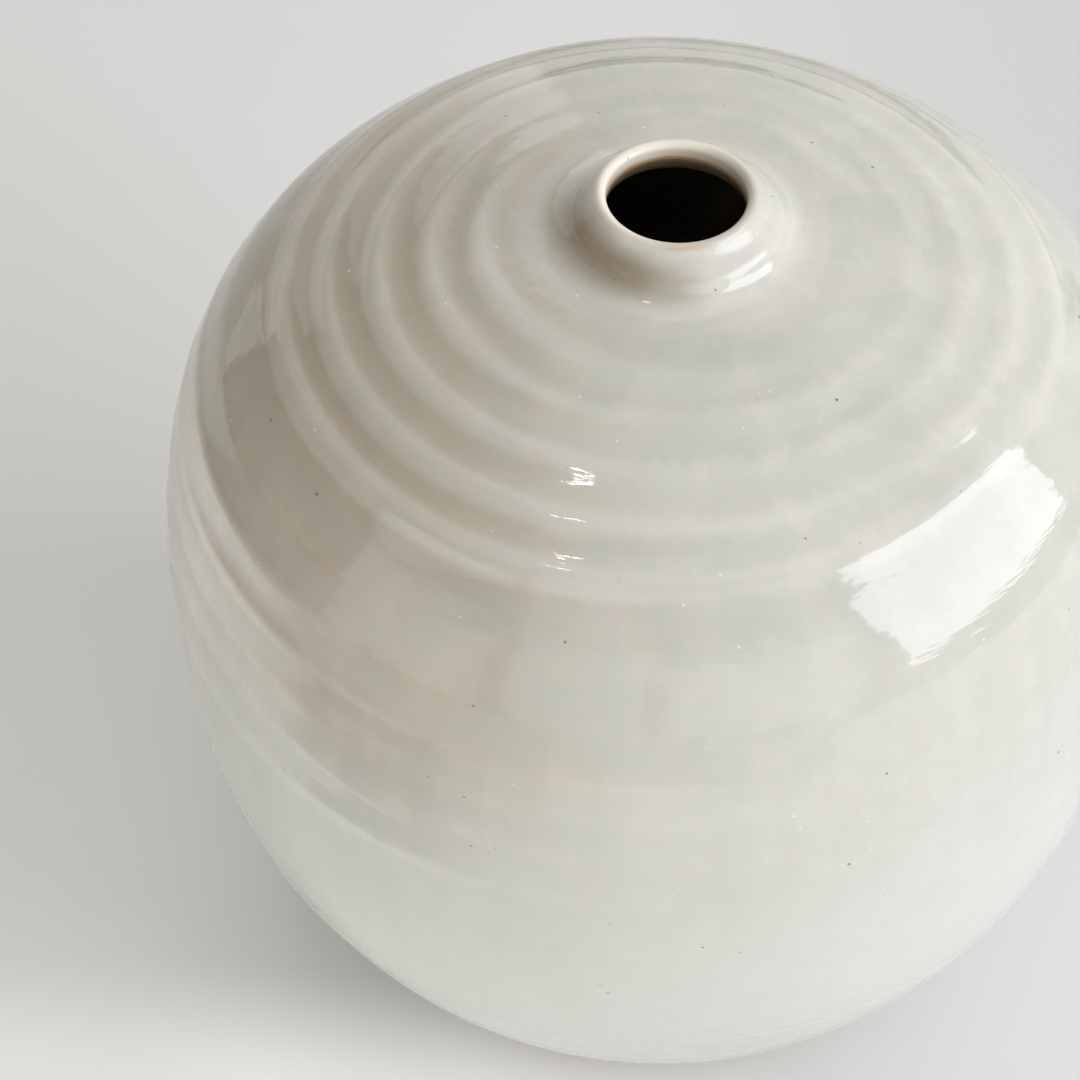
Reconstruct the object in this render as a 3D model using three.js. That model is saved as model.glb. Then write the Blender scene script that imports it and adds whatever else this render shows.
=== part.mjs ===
import * as THREE from 'three';

// A closed stoneware vase with a very small mouth, thrown in sections that are luted together with
// slip and then glazed inside and out. Lengths are in millimetres and angles in degrees, +Z is up,
// and the origin is the centre of the foot's resting face. Every piece is turned round the Z axis.

// Body outline, over the glaze
const bodyRadius = 140;
const bellyHeight = 146;
const bellyRunUp = 85.8;
const bellyRunDown = 82.7;
const shoulderRootRise = 118.9;
const shoulderRootRadius = 36.4;
const shoulderReach = 68.7;
const shoulderSlope = 6.3;
const bowlReach = 26.6;
const bowlSlope = 42.3;

// Throwing rings left by the fingers: full height on the shoulder, fading out towards the seam
const ringPitch = 14.7;
const ringHeight = 0.6;
const firstRingDistance = 12.8;
const fullRingBand = 110;

// Neck
const neckHeight = 12.2;
const valleyReach = 3.54;
const creaseRadius = 26.4;
const creaseDrop = 7.3;
const collarReach = 2.1;
const throatRadius = 18.1;
const throatDepth = 5.1;
const throatFlareRadius = 6;
const lipInnerRadius = 1;
const lipOuterRadius = 2.2;
const lipBrowAngle = 25;

// Walls and coats
const wallThickness = 6.8;
const floorThickness = 8.5;
const floorCornerRun = 9;
const glazeThickness = 0.5;
const coatGap = 0.1;
const bareBandWidth = 6;

// Joints: a tongue on the upper section sits in a groove in the lower one, bedded in slip
const slipThickness = 0.8;
const jointGap = 0.15;
const seamHeight = 80;
const seamTongue = 2;
const neckTongue = 1;
const footTongue = 1.2;

// Foot ring
const footCornerRadius = 80;
const footHeight = 7.2;
const footStep = 6;
const footRingWidth = 14;
const footRestWidth = 9;
const footBevel = 1;

// How finely the curves are divided
const segmentsAround = 36;
const bowlSteps = 4;
const innerBowlSteps = 3;
const innerDomeSteps = 7;
const neckRootSteps = 3;
const collarSteps = 3;
const lipSteps = 3;
const flareSteps = 3;

// Sizes that follow
const lipTop = bellyHeight + shoulderRootRise + neckHeight;
const throatEnd = lipTop - throatDepth;
const clayDepth = glazeThickness + coatGap;
const jointThickness = slipThickness + 2 * jointGap;
const floorHeight = footHeight + floorThickness;

const root = new THREE.Vector2( shoulderRootRadius, bellyHeight + shoulderRootRise );
const crease = new THREE.Vector2( creaseRadius, lipTop - creaseDrop );
const lipCrest = new THREE.Vector2( throatRadius + lipInnerRadius, lipTop );
const body = bodyPath();
const bodyLength = body.getLength();
const collarSlope = collarCurve();
const seamStart = distanceAtHeight( seamHeight );
const seamEnd = seamStart + jointThickness;

// A point at a distance from another, in a direction given as an angle above the horizontal
function away( origin, distance, degrees ) {

	const angle = THREE.MathUtils.degToRad( degrees );
	return new THREE.Vector2( origin.x + distance * Math.cos( angle ), origin.y + distance * Math.sin( angle ) );

}

// The outside of the body: up from the foot corner to the belly, then in over the shoulder
function bodyPath() {

	const footCorner = new THREE.Vector2( footCornerRadius, footHeight );
	const belly = new THREE.Vector2( bodyRadius, bellyHeight );
	const path = new THREE.CurvePath();
	path.add( new THREE.CubicBezierCurve(
		footCorner,
		away( footCorner, bowlReach, bowlSlope ),
		new THREE.Vector2( bodyRadius, bellyHeight - bellyRunDown ),
		belly
	) );
	path.add( new THREE.CubicBezierCurve(
		belly,
		new THREE.Vector2( bodyRadius, bellyHeight + bellyRunUp ),
		away( root, shoulderReach, - shoulderSlope ),
		root
	) );
	return path;

}

// The outside of the collar, from the crease at its base up to the brow of the lip
function collarCurve() {

	const brow = away( away( lipCrest, lipOuterRadius, - 90 ), lipOuterRadius, lipBrowAngle );
	return new THREE.QuadraticBezierCurve( crease, away( brow, collarReach, lipBrowAngle - 90 ), brow );

}

// The distance along the body, from the foot corner, at which it reaches a height
function distanceAtHeight( height ) {

	let low = 0;
	let high = bodyLength;
	while ( high - low > 1e-6 ) {

		const middle = ( low + high ) / 2;
		if ( body.getPoint( middle / bodyLength ).y < height ) low = middle;
		else high = middle;

	}

	return low;

}

// A station is a point on a surface, with the direction that leads straight out of the wall there
function stationOn( curve, t ) {

	const tangent = curve.getTangent( t );
	return { point: curve.getPoint( t ), normal: new THREE.Vector2( tangent.y, - tangent.x ) };

}

function stationsOn( curve, steps ) {

	return Array.from( { length: steps + 1 }, ( _, i ) => stationOn( curve, i / steps ) );

}

function bodyStation( distance ) {

	return stationOn( body, distance / bodyLength );

}

function throatStation( height ) {

	return { point: new THREE.Vector2( throatRadius, height ), normal: new THREE.Vector2( - 1, 0 ) };

}

// Equal steps between two distances, without the ends
function between( from, to, count ) {

	return Array.from( { length: count }, ( _, i ) => from + ( to - from ) * ( i + 1 ) / ( count + 1 ) );

}

// The line that runs at a depth under a row of stations
function lineAt( stations, depth ) {

	return stations.map( ( { point, normal } ) => point.clone().addScaledVector( normal, - depth ) );

}

// Below the seam the wall is turned smooth, and a band above the foot corner is left bare of glaze
function bowlStations() {

	const distances = [ bareBandWidth, ...between( bareBandWidth, seamStart, bowlSteps ), seamStart ];
	return distances.map( bodyStation );

}

// Above the seam a station stands on each crest and in each hollow of the throwing rings
function domeStations() {

	const ringEnd = bodyLength - fullRingBand;
	const halfPitch = ringPitch / 2;
	const stations = [ bodyStation( bodyLength ) ];
	let side = 1;
	let distance = bodyLength - firstRingDistance;
	while ( distance > seamEnd + halfPitch / 2 ) {

		const station = bodyStation( distance );
		const fade = Math.min( 1, ( distance - seamEnd ) / ( ringEnd - seamEnd ) );
		station.point.addScaledVector( station.normal, side * fade * ringHeight / 2 );
		stations.unshift( station );
		distance -= halfPitch;
		side = - side;

	}

	stations.unshift( bodyStation( seamEnd ) );
	return stations;

}

// The valley that leads from the shoulder's slope, a reach outside the crease, up to the crease
function neckRootStations() {

	const bendRadius = creaseRadius + valleyReach;
	const bendRise = ( shoulderRootRadius - bendRadius ) * Math.tan( THREE.MathUtils.degToRad( shoulderSlope ) );
	const bend = new THREE.Vector2( bendRadius, root.y + bendRise );
	return stationsOn( new THREE.QuadraticBezierCurve( root, bend, crease ), neckRootSteps ).slice( 1 );

}

// The lip is rolled wide outwards and tight inwards, from its crest
function lipArc( radius, from, to ) {

	const start = THREE.MathUtils.degToRad( from );
	const end = THREE.MathUtils.degToRad( to );
	return stationsOn( new THREE.ArcCurve( lipCrest.x, lipCrest.y - radius, radius, start, end ), lipSteps );

}

// The collar's outside above its joint, and its rolled lip down to the throat
function collarStations() {

	const foot = stationOn( collarSlope, jointThickness / collarSlope.getLength() );
	const slope = stationsOn( collarSlope, collarSteps ).slice( 1, - 1 );
	const outside = lipArc( lipOuterRadius, lipBrowAngle, 90 );
	const inside = lipArc( lipInnerRadius, 90, 180 );
	return [ foot, ...slope, ...outside, ...inside.slice( 1 ) ];

}

// The inside of the wall, where the directions lead into the hollow
function innerStation( distance ) {

	const { point, normal } = bodyStation( distance );
	return { point: point.addScaledVector( normal, - wallThickness ), normal: normal.negate() };

}

function innerBowlStations() {

	const start = distanceAtHeight( floorHeight + floorCornerRun / 2 );
	const wall = [ start, ...between( start, seamStart, innerBowlSteps ), seamStart ].map( innerStation );
	const floor = [ 0, wall[ 0 ].point.x - floorCornerRun ].map( ( radius ) => ( {
		point: new THREE.Vector2( radius, floorHeight ),
		normal: new THREE.Vector2( 0, 1 ),
	} ) );
	return [ ...floor, ...wall ];

}

function innerDomeStations() {

	return [ seamEnd, ...between( seamEnd, bodyLength, innerDomeSteps ), bodyLength ].map( innerStation );

}

// Under the throat the inside turns outwards on a round edge, towards the inside of the shoulder
function flareStations() {

	const centre = new THREE.Vector2( throatRadius + throatFlareRadius, throatEnd );
	const shoulder = innerStation( bodyLength ).point.sub( centre );
	const turn = Math.atan2( - shoulder.y, - shoulder.x ) - Math.acos( throatFlareRadius / shoulder.length() );
	return Array.from( { length: flareSteps + 1 }, ( _, i ) => {

		const angle = turn * ( 1 - i / flareSteps );
		const normal = new THREE.Vector2( - Math.cos( angle ), - Math.sin( angle ) );
		return { point: normal.clone().multiplyScalar( throatFlareRadius ).add( centre ), normal };

	} );

}

// A joint face across the wall, with its middle pushed down by the height of the tongue
function jointFace( outer, inner, tongue ) {

	const across = new THREE.Vector2().subVectors( inner, outer ).normalize();
	const middle = new THREE.Vector2().addVectors( outer, inner ).multiplyScalar( 0.5 );
	middle.addScaledVector( new THREE.Vector2( - across.y, across.x ), tongue );
	return [ outer, middle, inner ];

}

// The joint face at a height of the slip bed, from 0 at its underside to the joint's full thickness
function seamFace( level ) {

	const distance = seamStart + level;
	const [ outer ] = lineAt( [ bodyStation( distance ) ], clayDepth );
	const [ inner ] = lineAt( [ innerStation( distance ) ], clayDepth );
	return jointFace( outer, inner, seamTongue );

}

function neckFace( level ) {

	const edge = level > 0 ? stationOn( collarSlope, level / collarSlope.getLength() ) : neckRootStations().at( - 1 );
	const [ outer ] = lineAt( [ edge ], clayDepth );
	const [ inner ] = lineAt( [ throatStation( throatEnd + level ) ], clayDepth );
	return jointFace( outer, inner, neckTongue );

}

function footFace( level ) {

	const [ corner ] = lineAt( [ bodyStation( 0 ) ], clayDepth );
	const height = corner.y - jointThickness + level;
	const outer = new THREE.Vector2( footCornerRadius - footStep, height );
	const inner = new THREE.Vector2( outer.x - footRingWidth, height );
	return jointFace( outer, inner, footTongue );

}

// A solid turned from its outline, which is given anticlockwise and closes on itself or on the axis
function turned( name, outline, color, roughness ) {

	const onAxis = outline[ 0 ].x === 0;
	const geometry = new THREE.LatheGeometry( onAxis ? outline : [ ...outline, outline[ 0 ] ], segmentsAround );
	geometry.rotateX( Math.PI / 2 );
	const mesh = new THREE.Mesh( geometry, new THREE.MeshStandardMaterial( { color, roughness, metalness: 0 } ) );
	mesh.name = name;
	return mesh;

}

// A bed of slip fills the gap of a joint, clear of both of its faces
function slipBed( name, face ) {

	const under = face( jointGap );
	const over = face( jointGap + slipThickness );
	return turned( name, [ ...over, ...under.reverse() ], 0x9c8468, 0.95 );

}

function footRing() {

	const top = footFace( 0 );
	const restOuter = ( top[ 0 ].x + top[ 2 ].x + footRestWidth ) / 2;
	const restInner = restOuter - footRestWidth;
	const outline = [
		new THREE.Vector2( restInner - footBevel, footBevel ),
		new THREE.Vector2( restInner, 0 ),
		new THREE.Vector2( restOuter, 0 ),
		new THREE.Vector2( restOuter + footBevel, footBevel ),
		...top,
	];
	return turned( 'foot_ring', outline, 0xb59c7c, 0.9 );

}

// The bowl: its floor and bare underside, its wall, and the grooved rim that carries the dome
function baseBowl() {

	const outer = lineAt( [ bodyStation( 0 ), ...bowlStations() ], clayDepth );
	const inner = lineAt( innerBowlStations(), clayDepth );
	const underside = footFace( jointThickness ).reverse();
	const outline = [
		new THREE.Vector2( 0, outer[ 0 ].y ),
		...underside,
		...outer,
		...seamFace( 0 ).slice( 1 ),
		...inner.reverse().slice( 1 ),
	];
	return turned( 'base_bowl', outline, 0xbda588, 0.9 );

}

// The dome: a tongued lower rim, the ringed wall, and a grooved seat for the collar round the throat
function bodyDome() {

	const outer = lineAt( [ ...domeStations(), ...neckRootStations() ], clayDepth );
	const inner = lineAt( [ ...innerDomeStations(), ...flareStations() ], clayDepth );
	const outline = [
		...outer,
		neckFace( 0 )[ 1 ],
		...inner.reverse(),
		seamFace( jointThickness )[ 1 ],
	];
	return turned( 'body_dome', outline, 0xc4ad8f, 0.9 );

}

function neckCollar() {

	const outer = lineAt( [ ...collarStations(), throatStation( throatEnd + jointThickness ) ], clayDepth );
	return turned( 'neck_collar', [ ...outer, neckFace( jointThickness )[ 1 ] ], 0xcdb899, 0.85 );

}

// The glass coat outside: from the bare band over the body and the lip, and down into the throat
function outerGlaze() {

	const stations = [
		...bowlStations(),
		...domeStations(),
		...neckRootStations(),
		...collarStations(),
		throatStation( throatEnd + coatGap ),
	];
	const outline = [ ...lineAt( stations, 0 ), ...lineAt( stations, glazeThickness ).reverse() ];
	return turned( 'outer_glaze', outline, 0xdcdad2, 0.12 );

}

// The glass coat inside: over the floor, up the wall and round the flare to the end of the throat
function linerGlaze() {

	const stations = [ ...innerBowlStations(), ...innerDomeStations(), ...flareStations() ];
	const outline = [ ...lineAt( stations, glazeThickness ), ...lineAt( stations, 0 ).reverse() ];
	return turned( 'liner_glaze', outline, 0x8c7f66, 0.2 );

}

const group = new THREE.Group();
group.add(
	footRing(),
	slipBed( 'foot_slip', footFace ),
	baseBowl(),
	slipBed( 'seam_slip', seamFace ),
	bodyDome(),
	slipBed( 'neck_slip', neckFace ),
	neckCollar(),
	outerGlaze(),
	linerGlaze()
);

export default group;
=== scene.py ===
import math

import bmesh
import bpy
import numpy as np
from mathutils import Euler, Matrix, Vector


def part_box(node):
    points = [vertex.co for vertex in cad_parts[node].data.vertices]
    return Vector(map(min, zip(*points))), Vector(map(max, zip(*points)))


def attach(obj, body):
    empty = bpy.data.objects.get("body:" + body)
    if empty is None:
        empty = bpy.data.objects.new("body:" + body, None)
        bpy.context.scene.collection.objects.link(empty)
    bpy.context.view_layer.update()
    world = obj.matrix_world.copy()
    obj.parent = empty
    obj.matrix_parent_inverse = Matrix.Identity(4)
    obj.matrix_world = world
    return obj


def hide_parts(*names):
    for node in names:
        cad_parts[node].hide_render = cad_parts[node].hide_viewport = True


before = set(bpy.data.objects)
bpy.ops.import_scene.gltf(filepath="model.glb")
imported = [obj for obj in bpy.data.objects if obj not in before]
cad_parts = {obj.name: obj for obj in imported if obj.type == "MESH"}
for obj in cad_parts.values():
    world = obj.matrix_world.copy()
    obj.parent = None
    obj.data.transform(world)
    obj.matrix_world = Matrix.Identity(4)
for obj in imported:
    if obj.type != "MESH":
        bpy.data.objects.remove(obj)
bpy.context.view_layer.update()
MM = 0.001

# Foot ring
# A ring of buff stoneware, thrown apart and luted under the base. The vase stands on its narrow
# lower face, which is wiped clean before the firing, and its edges are softened with a wet sponge.
FOOT_RING_WIDTH = 14 * MM
FOOT_REST_WIDTH = 9 * MM
FOOT_CHAMFER = 1 * MM
FOOT_TONGUE = 1.2 * MM
FOOT_SOFTNESS = 0.5 * MM
ring_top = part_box("foot_ring")[1].z
ring_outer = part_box("foot_ring")[1].x
ring_inner = ring_outer - FOOT_RING_WIDTH
ring_middle = (ring_outer + ring_inner) / 2
rest_outer = ring_middle + FOOT_REST_WIDTH / 2
rest_inner = ring_middle - FOOT_REST_WIDTH / 2

# The outline of the vase as (radius, height), from the foot corner over the lip into the throat.
# The pieces are turned from it, and their patterns follow the distance along it.
FOOT_CORNER = Vector((80 * MM, 7.2 * MM))
BOWL_REACH = 26.6 * MM
BOWL_SLOPE = math.radians(42.3)
BELLY = Vector((140 * MM, 146 * MM))
BELLY_RUN_DOWN = 82.7 * MM
BELLY_RUN_UP = 85.8 * MM
SHOULDER_ROOT = Vector((36.4 * MM, 264.9 * MM))
SHOULDER_REACH = 68.7 * MM
SHOULDER_SLOPE = math.radians(6.3)
VALLEY_REACH = 3.54 * MM
CREASE = Vector((26.4 * MM, 269.8 * MM))
COLLAR_REACH = 2.1 * MM
LIP_CREST = Vector((19.9 * MM, 277.1 * MM))
LIP_OUTER_RADIUS = 1.5 * MM
LIP_INNER_RADIUS = 1.8 * MM
LIP_BROW = math.radians(25)
THROAT_END = 272 * MM
BODY_POINTS = 900
NECK_POINTS = 60
LIP_POINTS = 40
FINE = 0.05 * MM


def away(start, distance, angle):
    """The point at a distance from another, at an angle above the level."""
    return start + distance * Vector((math.cos(angle), math.sin(angle)))


def bezier(controls, steps):
    """Points (radius, height) along a Bezier curve of any order."""
    line = []
    for t in np.linspace(0, 1, steps + 1):
        row = controls
        while len(row) > 1:
            row = [a.lerp(b, t) for a, b in zip(row, row[1:])]
        line.append(row[0])
    return line


def arc(centre, radius, start, end, steps):
    """Points along a round stretch of outline."""
    return [away(centre, radius, angle) for angle in np.linspace(start, end, steps + 1)]


def spaced(line, step):
    """The same line as an array whose points are the same small step apart."""
    line = np.array(line)
    travelled = np.r_[0, np.cumsum(np.hypot(*np.diff(line, axis=0).T))]
    even = np.linspace(0, travelled[-1], round(travelled[-1] / step) + 1)
    return np.stack([np.interp(even, travelled, line[:, i]) for i in (0, 1)], 1)


outer_lip_centre = LIP_CREST - Vector((0, LIP_OUTER_RADIUS))
inner_lip_centre = LIP_CREST - Vector((0, LIP_INNER_RADIUS))
brow = away(outer_lip_centre, LIP_OUTER_RADIUS, LIP_BROW)
throat_radius = LIP_CREST.x - LIP_INNER_RADIUS
valley_radius = CREASE.x + VALLEY_REACH
valley_rise = (SHOULDER_ROOT.x - valley_radius) * math.tan(SHOULDER_SLOPE)
valley = Vector((valley_radius, SHOULDER_ROOT.y + valley_rise))
above_bowl = away(FOOT_CORNER, BOWL_REACH, BOWL_SLOPE)
under_shoulder = away(SHOULDER_ROOT, SHOULDER_REACH, -SHOULDER_SLOPE)
under_brow = away(brow, COLLAR_REACH, LIP_BROW - math.pi / 2)
below_belly = BELLY - Vector((0, BELLY_RUN_DOWN))
above_belly = BELLY + Vector((0, BELLY_RUN_UP))
bowl_line = bezier([FOOT_CORNER, above_bowl, below_belly, BELLY], BODY_POINTS)
dome_line = bezier([BELLY, above_belly, under_shoulder, SHOULDER_ROOT], BODY_POINTS)
valley_line = bezier([SHOULDER_ROOT, valley, CREASE], NECK_POINTS)
collar_line = bezier([CREASE, under_brow, brow], NECK_POINTS)
outer_lip_line = arc(outer_lip_centre, LIP_OUTER_RADIUS, LIP_BROW, math.pi / 2, LIP_POINTS)
inner_lip_line = arc(inner_lip_centre, LIP_INNER_RADIUS, math.pi / 2, math.pi, LIP_POINTS)
outline = spaced([*bowl_line, *dome_line[1:], *valley_line[1:], *collar_line[1:],
                  *outer_lip_line[1:], *inner_lip_line[1:],
                  Vector((throat_radius, THROAT_END))], FINE)
outline_along = np.arange(len(outline)) * FINE
tangent = np.gradient(outline, axis=0)
outline_facing = np.stack([tangent[:, 1], -tangent[:, 0]], 1) / np.hypot(*tangent.T)[:, None]


def distance_to(point):
    """The distance along the outline, from the foot corner, of the place nearest to a point."""
    return outline_along[np.argmin(np.hypot(*(outline - np.array(point)).T))]


root_at = distance_to(SHOULDER_ROOT)
crease_at = distance_to(CREASE)
brow_at = distance_to(brow)
crest_at = distance_to(LIP_CREST)
throat_at = distance_to(inner_lip_line[-1])
end_at = outline_along[-1]

# A place on the wall is known by the angle at which the middle of the belly sees it, which the
# inner and outer faces share. The line runs from the axis under the base to the axis over the lip.
seen_along = np.r_[-FOOT_CORNER.x, outline_along[outline_along < crest_at], crest_at + LIP_CREST.x]
seen_line = np.vstack([[0, FOOT_CORNER.y], outline[outline_along < crest_at], [0, LIP_CREST.y]])
seen_angle = np.maximum.accumulate(np.arctan2(seen_line[:, 1] - BELLY.y, seen_line[:, 0]))


def wall_distance(places):
    """How far up the wall each place is, counted from the foot corner."""
    angle = np.arctan2(places[:, 2] - BELLY.y, np.hypot(places[:, 0], places[:, 1]))
    return np.interp(angle, seen_angle, seen_along)


STEPS_AROUND = 200
SAME_PLACE = 0.005 * MM
SHARP = math.radians(22)


def turn(line):
    """A solid turned round the axis, from a line that ends on the axis or closes on itself."""
    bm = bmesh.new()
    corners = [bm.verts.new((radius, 0, height)) for radius, height in line]
    for a, b in zip(corners, corners[1:]):
        bm.edges.new((a, b))
    if line[0][0] > 0:
        bm.edges.new((corners[-1], corners[0]))
    bmesh.ops.spin(bm, geom=bm.verts[:] + bm.edges[:], cent=(0, 0, 0), axis=(0, 0, 1),
                   angle=math.tau, steps=STEPS_AROUND, use_merge=True)
    bmesh.ops.remove_doubles(bm, verts=bm.verts, dist=SAME_PLACE)
    bmesh.ops.recalc_face_normals(bm, faces=bm.faces)
    return bm


def soften(bm, width, angle=SHARP):
    """Rounds every turned edge that is sharper than the angle."""
    sharp = [e for e in bm.edges if e.is_manifold and e.calc_face_angle(0) > angle]
    bmesh.ops.bevel(bm, geom=sharp, offset=width, offset_type="OFFSET", segments=3, profile=0.5,
                    affect="EDGES", material=-1, clamp_overlap=True)


def fire(bm, name, material):
    """The finished piece, which knows where on the wheel each of its points was thrown."""
    mesh = bpy.data.meshes.new(name)
    bm.to_mesh(mesh)
    bm.free()
    mesh.shade_smooth()
    places = np.empty(len(mesh.vertices) * 3)
    mesh.vertices.foreach_get("co", places)
    places = places.reshape(-1, 3)
    azimuth = np.arctan2(places[:, 1], places[:, 0])
    around = BELLY.x * np.stack([np.cos(azimuth), np.sin(azimuth)], 1)
    thrown = np.column_stack([around, wall_distance(places)])
    wheel_places = mesh.attributes.new("thrown", "FLOAT_VECTOR", "POINT")
    wheel_places.data.foreach_set("vector", thrown.ravel())
    mesh.materials.append(material)
    piece = bpy.data.objects.new(name, mesh)
    bpy.context.scene.collection.objects.link(piece)
    return piece


def new_material(name):
    """A material, with its node tree and its shader."""
    material = bpy.data.materials.new(name)
    material.use_nodes = True
    tree = material.node_tree
    return material, tree, tree.nodes["Principled BSDF"]


def fill(tree, socket, value):
    """Gives an input a value, or the socket that feeds it."""
    if isinstance(value, bpy.types.NodeSocket):
        tree.links.new(value, socket)
    else:
        socket.default_value = value


def add(tree, kind, inputs=None, **settings):
    """A new node, with its inputs given by name or number."""
    node = tree.nodes.new(kind)
    for key, value in settings.items():
        setattr(node, key, value)
    for key, value in (inputs or {}).items():
        fill(tree, node.inputs[key], value)
    return node


def blend(tree, share, first, second, mode="MIX"):
    """A colour that goes from the first to the second with the share. Sockets 6 and 7 take them."""
    return add(tree, "ShaderNodeMix", {0: share, 6: first, 7: second},
               data_type="RGBA", blend_type=mode).outputs[2]


def reckon(tree, operation, first, second=0.0, third=0.0, clamp=False):
    """The result of a sum."""
    return add(tree, "ShaderNodeMath", {0: first, 1: second, 2: third},
               operation=operation, use_clamp=clamp).outputs[0]


def times(tree, first, second):
    """Two values or masks multiplied."""
    return reckon(tree, "MULTIPLY", first, second)


def remap(tree, value, low, high, to_low=0.0, to_high=1.0):
    """A value brought from one range to another with a soft rise."""
    return add(tree, "ShaderNodeMapRange", {0: value, 1: low, 2: high, 3: to_low, 4: to_high},
               interpolation_type="SMOOTHSTEP").outputs[0]


def noise(tree, place, scale, detail=3.0, rough=0.5):
    """A soft random value, with as many lumps to the metre as the scale says."""
    return add(tree, "ShaderNodeTexNoise", {"Vector": place, "Scale": scale, "Detail": detail,
                                            "Roughness": rough}).outputs[0]


def shifted(tree, place, stretch=(1, 1, 1), move=(0, 0, 0)):
    """The same place, stretched or moved, so that two patterns don't repeat each other."""
    return add(tree, "ShaderNodeMapping",
               {"Vector": place, "Location": move, "Scale": stretch}).outputs[0]


def object_place(tree):
    """The place on the piece, in metres."""
    return add(tree, "ShaderNodeTexCoord").outputs["Object"]


def axes_of(tree, vector):
    """The three numbers of a vector."""
    return add(tree, "ShaderNodeSeparateXYZ", {0: vector}).outputs


def finish(tree, shader, colour, roughness, height, depth, strength=1.0):
    """Gives the shader its colour, its roughness, and relief of a depth."""
    bump = add(tree, "ShaderNodeBump", {"Strength": strength, "Distance": depth, "Height": height})
    tree.links.new(colour, shader.inputs["Base Color"])
    tree.links.new(roughness, shader.inputs["Roughness"])
    tree.links.new(bump.outputs[0], shader.inputs["Normal"])


def new_group(name, inputs, outputs):
    """A shader node group with named sockets, the inputs given as (name, kind, value)."""
    group = bpy.data.node_groups.new(name, "ShaderNodeTree")
    for label, kind, value in inputs:
        socket = group.interface.new_socket(label, in_out="INPUT", socket_type=kind)
        if value is not None:
            socket.default_value = value
    for label, kind in outputs:
        group.interface.new_socket(label, in_out="OUTPUT", socket_type=kind)
    given, made = group.nodes.new("NodeGroupInput"), group.nodes.new("NodeGroupOutput")
    return group, given.outputs, made.inputs


# Iron specks: a scatter of small round spots, of which only a share of the cells holds one
specks_group, given, made = new_group(
    "iron_specks",
    [("Place", "NodeSocketVector", None), ("Cells", "NodeSocketFloat", 80.0),
     ("Size", "NodeSocketFloat", 0.05), ("Share", "NodeSocketFloat", 0.3)],
    [("Mask", "NodeSocketFloat")])
cells = add(specks_group, "ShaderNodeTexVoronoi",
            {"Vector": given["Place"], "Scale": given["Cells"]}).outputs
draws = add(specks_group, "ShaderNodeSeparateColor", {0: cells["Color"]}).outputs
chosen = reckon(specks_group, "LESS_THAN", draws[0], given["Share"])
reach = times(specks_group, given["Size"], reckon(specks_group, "ADD", draws[1], 0.35))
spot = remap(specks_group, reckon(specks_group, "DIVIDE", cells["Distance"], reach), 1.0, 0.6)
specks_group.links.new(times(specks_group, spot, chosen), made["Mask"])


def specks(tree, place, cells, size, share):
    """The mask of a scatter of specks: cells to the metre, and the size as a share of a cell."""
    values = {"Place": place, "Cells": cells, "Size": size, "Share": share}
    return add(tree, "ShaderNodeGroup", values, node_tree=specks_group).outputs["Mask"]


# Wheel lines: fine lines drawn round the pot by a tool, a rib or a wet hand as it turns
lines_group, given, made = new_group(
    "wheel_lines",
    [("Thrown", "NodeSocketVector", None), ("Lines", "NodeSocketFloat", 400.0),
     ("Waver", "NodeSocketFloat", 14.0)],
    [("Height", "NodeSocketFloat")])
stretch = add(lines_group, "ShaderNodeCombineXYZ",
              {0: given["Waver"], 1: given["Waver"], 2: given["Lines"]})
drawn = add(lines_group, "ShaderNodeVectorMath", {0: given["Thrown"], 1: stretch.outputs[0]},
            operation="MULTIPLY")
lines_group.links.new(noise(lines_group, drawn.outputs[0], 1.0, 4.0, 0.6), made["Height"])


def wheel_lines(tree, thrown, lines, waver):
    """The height of the lines: so many to the metre up the wall, and their waver round it."""
    values = {"Thrown": thrown, "Lines": lines, "Waver": waver}
    return add(tree, "ShaderNodeGroup", values, node_tree=lines_group).outputs["Height"]


# Buff stoneware, fired bare: sandy, with dark grog and iron, toasted by the flame near the glaze
BUFF = (0.50, 0.385, 0.27, 1)
PALE_BUFF = (0.60, 0.49, 0.37, 1)
TOAST = (0.36, 0.215, 0.12, 1)
GROG = (0.27, 0.18, 0.11, 1)
IRON = (0.045, 0.032, 0.026, 1)
GLAZE_EDGE = 6 * MM
TOAST_START = 1.5 * MM
TOAST_FADE = 2.5 * MM
TOAST_RAGGED = 5 * MM
CLAY_GRAIN_DEPTH = 0.12 * MM

clay, tree, shader = new_material("bare_stoneware")
place = object_place(tree)
thrown = add(tree, "ShaderNodeAttribute", attribute_name="thrown").outputs["Vector"]
wall = axes_of(tree, thrown)[2]
colour = blend(tree, remap(tree, noise(tree, place, 60, 4), 0.35, 0.65), BUFF, PALE_BUFF)
ragged = reckon(tree, "MULTIPLY_ADD", noise(tree, place, 110, 2), TOAST_RAGGED, wall)
toasted = remap(tree, ragged, TOAST_START, GLAZE_EDGE + TOAST_FADE, 0.0, 0.75)
colour = blend(tree, toasted, colour, TOAST)
grog = specks(tree, place, 700, 0.3, 0.35)
colour = blend(tree, times(tree, grog, 0.6), colour, GROG)
colour = blend(tree, specks(tree, place, 230, 0.16, 0.3), colour, IRON)
grain = noise(tree, place, 1500, 5, 0.65)
turned_lines = wheel_lines(tree, thrown, 900, 10)
height = reckon(tree, "ADD", times(tree, grain, 0.5), times(tree, turned_lines, 0.9))
height = reckon(tree, "SUBTRACT", height, times(tree, grog, 0.3))
roughness = remap(tree, grain, 0.3, 0.7, 0.78, 0.92)
finish(tree, shader, colour, roughness, height, CLAY_GRAIN_DEPTH, 0.7)

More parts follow.
